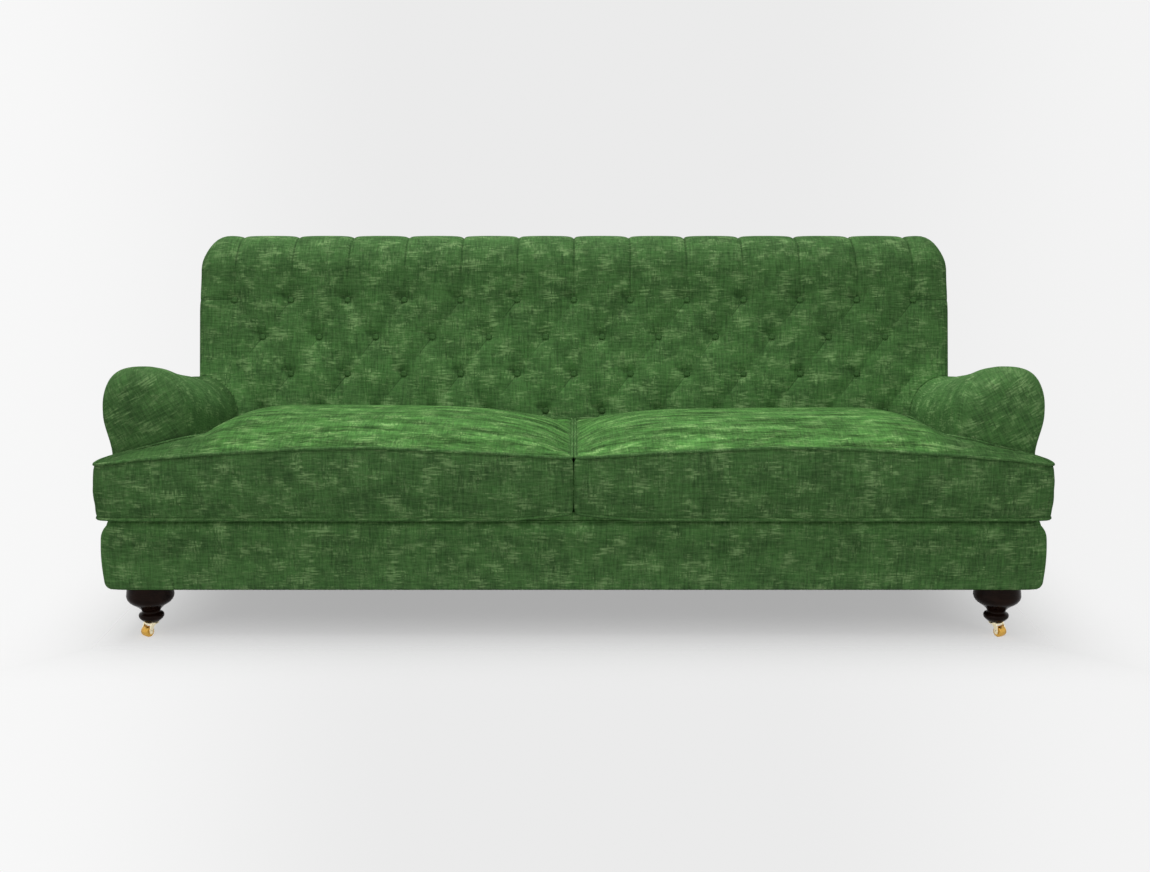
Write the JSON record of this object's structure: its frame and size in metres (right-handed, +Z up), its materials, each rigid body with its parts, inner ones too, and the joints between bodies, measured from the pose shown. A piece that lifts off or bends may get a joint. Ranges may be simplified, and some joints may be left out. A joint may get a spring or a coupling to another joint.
{
  "type": "sofa",
  "caption": "Roll-arm sofa with a deep buttoned back, loose piped seat cushions, turned front legs on brass castors and square rear legs.",
  "frame": {"origin": "on the floor, under the middle of the footprint", "axes": "+X to the right of someone facing the sofa's front, -Y out of the front of the sofa, +Z up"},
  "size_m": [2.202, 0.952, 0.9037],
  "materials": {
    "velvet": "mottled green slubbed velvet",
    "beech": "planed, unfinished",
    "ebonised_wood": "gloss",
    "polished_brass": "polished",
    "zinc_steel": "zinc plated",
    "spring_steel": "oiled",
    "webbing": "woven jute",
    "black_lining": "plain woven lining"
  },
  "bodies": {
    "sofa_frame": {"front_border": "velvet", "front_seat_rail": "beech", "rear_seat_rail": "beech", "centre_seat_rail": "beech", "dust_cloth": "black_lining", "seat_deck": "black_lining", "buttoned_back": "velvet", "outer_back": "velvet", "back_top_rail": "beech", "centre_back_stile": "beech", "back_lower_rail": "beech", "left_side_border": "velvet", "left_side_rail": "beech", "left_front_corner_block": "beech", "left_rear_corner_block": "beech", "left_arm_pad": "velvet", "left_arm_front_post": "beech", "left_arm_board": "beech", "left_outer_arm": "velvet", "left_back_post": "beech", "left_front_leg": "ebonised_wood", "left_front_leg_bolt": "zinc_steel", "left_rear_leg": "ebonised_wood", "left_rear_leg_bolt": "zinc_steel", "left_castor_plate": "polished_brass", "right_side_border": "velvet", "right_side_rail": "beech", "right_front_corner_block": "beech", "right_rear_corner_block": "beech", "right_arm_pad": "velvet", "right_arm_front_post": "beech", "right_arm_board": "beech", "right_outer_arm": "velvet", "right_back_post": "beech", "right_front_leg": "ebonised_wood", "right_front_leg_bolt": "zinc_steel", "right_rear_leg": "ebonised_wood", "right_rear_leg_bolt": "zinc_steel", "right_castor_plate": "polished_brass", "seat_spring_1": "spring_steel", "seat_spring_2": "spring_steel", "seat_spring_3": "spring_steel", "seat_spring_4": "spring_steel", "seat_spring_5": "spring_steel", "seat_spring_6": "spring_steel", "seat_spring_7": "spring_steel", "seat_spring_8": "spring_steel", "back_webbing_1": "webbing", "back_webbing_2": "webbing", "back_webbing_3": "webbing"},
    "left_cushion": {"left_seat_cushion": "velvet"},
    "left_castor_fork": {"left_castor_horn": "polished_brass", "left_castor_axle": "polished_brass"},
    "left_castor_roller": {"left_castor_wheel": "polished_brass"},
    "right_cushion": {"right_seat_cushion": "velvet"},
    "right_castor_fork": {"right_castor_horn": "polished_brass", "right_castor_axle": "polished_brass"},
    "right_castor_roller": {"right_castor_wheel": "polished_brass"}
  },
  "joints": [
    {"name": "left_cushion_lift", "type": "slide", "parent": "sofa_frame", "child": "left_cushion", "axis": [0, 0, 1], "range_m": [0, 0.4]},
    {"name": "left_castor_swivel", "type": "hinge", "parent": "sofa_frame", "child": "left_castor_fork", "pos_m": [-1.01, -0.33997, 0.03], "axis": [0, 0, 1], "continuous": true},
    {"name": "left_castor_roll", "type": "hinge", "parent": "left_castor_fork", "child": "left_castor_roller", "pos_m": [-1.01823, -0.3513, 0.01284], "axis": [0.809, -0.5878, 0], "continuous": true},
    {"name": "right_cushion_lift", "type": "slide", "parent": "sofa_frame", "child": "right_cushion", "axis": [0, 0, 1], "range_m": [0, 0.4]},
    {"name": "right_castor_swivel", "type": "hinge", "parent": "sofa_frame", "child": "right_castor_fork", "pos_m": [1.01, -0.33997, 0.03], "axis": [0, 0, 1], "continuous": true},
    {"name": "right_castor_roll", "type": "hinge", "parent": "right_castor_fork", "child": "right_castor_roller", "pos_m": [1.01823, -0.3513, 0.01284], "axis": [0.809, 0.5878, 0], "continuous": true}
  ]
}
